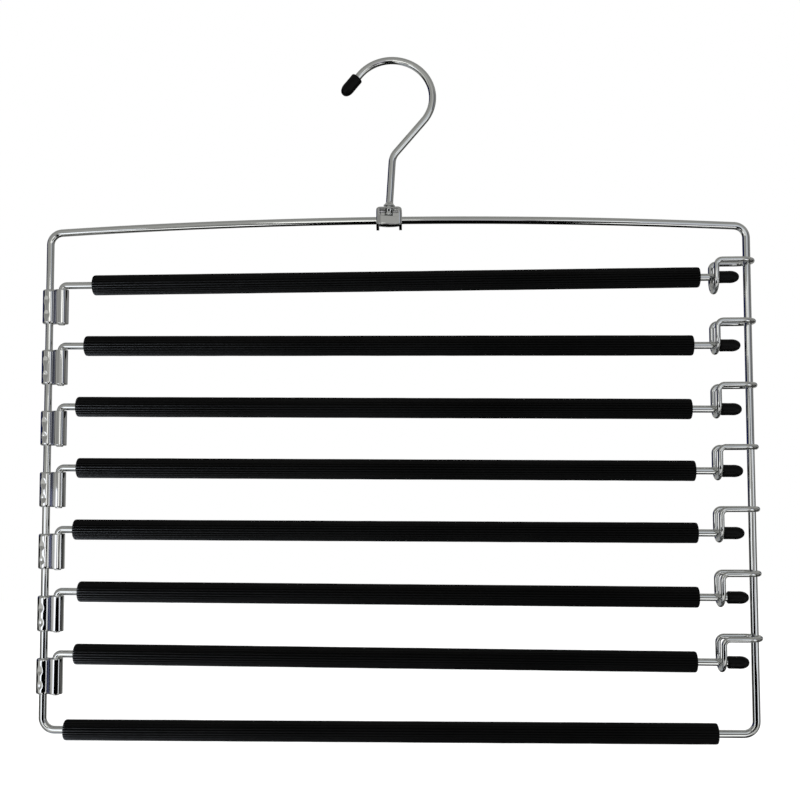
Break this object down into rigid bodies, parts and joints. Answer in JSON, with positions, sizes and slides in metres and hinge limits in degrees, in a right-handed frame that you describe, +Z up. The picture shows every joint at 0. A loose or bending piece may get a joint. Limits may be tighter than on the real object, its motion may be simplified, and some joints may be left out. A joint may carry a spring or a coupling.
{
  "type": "multi tier trouser hanger",
  "caption": "Bent-wire trouser hanger with a swivel hook and ribbed bars that swing out one by one from clips on one side and drop into catches on the other.",
  "frame": {"origin": "the point at the top inside of the hook where it rests on a wardrobe rail", "axes": "+Z up as the hanger hangs, +X from the hinged side to the catches, -Y towards the front"},
  "size_m": [0.3797, 0.0172, 0.3642],
  "materials": {
    "chrome_wire": "bright chrome plated steel wire",
    "chrome_hook": "bright chrome plated steel wire",
    "chrome_catch": "bright chrome plated thin steel wire",
    "chrome_sheet": "bright chrome plated folded steel sheet",
    "chrome_clip": "bright chrome plated folded steel strip",
    "sleeve_foam": "matt black ribbed foam rubber",
    "cap_rubber": "matt black moulded rubber"
  },
  "bodies": {
    "hook": {"hook_wire": "chrome_hook", "hook_cap": "cap_rubber"},
    "frame": {"frame_wire": "chrome_wire", "saddle_bracket": "chrome_sheet", "bottom_sleeve": "sleeve_foam", "hinge_clip_1": "chrome_clip", "hinge_clip_2": "chrome_clip", "hinge_clip_3": "chrome_clip", "hinge_clip_4": "chrome_clip", "hinge_clip_5": "chrome_clip", "hinge_clip_6": "chrome_clip", "hinge_clip_7": "chrome_clip", "catch_ring_1": "chrome_catch", "catch_ring_2": "chrome_catch", "catch_ring_3": "chrome_catch", "catch_ring_4": "chrome_catch", "catch_ring_5": "chrome_catch", "catch_ring_6": "chrome_catch", "catch_ring_7": "chrome_catch"},
    "arm_1": {"arm_wire_1": "chrome_wire", "arm_sleeve_1": "sleeve_foam", "arm_cap_1": "cap_rubber"},
    "arm_2": {"arm_wire_2": "chrome_wire", "arm_sleeve_2": "sleeve_foam", "arm_cap_2": "cap_rubber"},
    "arm_3": {"arm_wire_3": "chrome_wire", "arm_sleeve_3": "sleeve_foam", "arm_cap_3": "cap_rubber"},
    "arm_4": {"arm_wire_4": "chrome_wire", "arm_sleeve_4": "sleeve_foam", "arm_cap_4": "cap_rubber"},
    "arm_5": {"arm_wire_5": "chrome_wire", "arm_sleeve_5": "sleeve_foam", "arm_cap_5": "cap_rubber"},
    "arm_6": {"arm_wire_6": "chrome_wire", "arm_sleeve_6": "sleeve_foam", "arm_cap_6": "cap_rubber"},
    "arm_7": {"arm_wire_7": "chrome_wire", "arm_sleeve_7": "sleeve_foam", "arm_cap_7": "cap_rubber"}
  },
  "joints": [
    {"name": "hook_swivel", "type": "hinge", "parent": "hook", "child": "frame", "pos_m": [-0.00156, 0, -0.07893], "axis": [0, 0, 1], "continuous": true},
    {"name": "arm_1_swing", "type": "hinge", "parent": "frame", "child": "arm_1", "pos_m": [-0.17816, 0, -0.11913], "axis": [0, 0, 1], "range_deg": [-135, 135]},
    {"name": "arm_2_swing", "type": "hinge", "parent": "frame", "child": "arm_2", "pos_m": [-0.17816, 0, -0.15183], "axis": [0, 0, 1], "range_deg": [-135, 135]},
    {"name": "arm_3_swing", "type": "hinge", "parent": "frame", "child": "arm_3", "pos_m": [-0.17816, 0, -0.18453], "axis": [0, 0, 1], "range_deg": [-135, 135]},
    {"name": "arm_4_swing", "type": "hinge", "parent": "frame", "child": "arm_4", "pos_m": [-0.17816, 0, -0.21723], "axis": [0, 0, 1], "range_deg": [-135, 135]},
    {"name": "arm_5_swing", "type": "hinge", "parent": "frame", "child": "arm_5", "pos_m": [-0.17816, 0, -0.24993], "axis": [0, 0, 1], "range_deg": [-135, 135]},
    {"name": "arm_6_swing", "type": "hinge", "parent": "frame", "child": "arm_6", "pos_m": [-0.17816, 0, -0.28263], "axis": [0, 0, 1], "range_deg": [-135, 135]},
    {"name": "arm_7_swing", "type": "hinge", "parent": "frame", "child": "arm_7", "pos_m": [-0.17816, 0, -0.31533], "axis": [0, 0, 1], "range_deg": [-135, 135]}
  ]
}
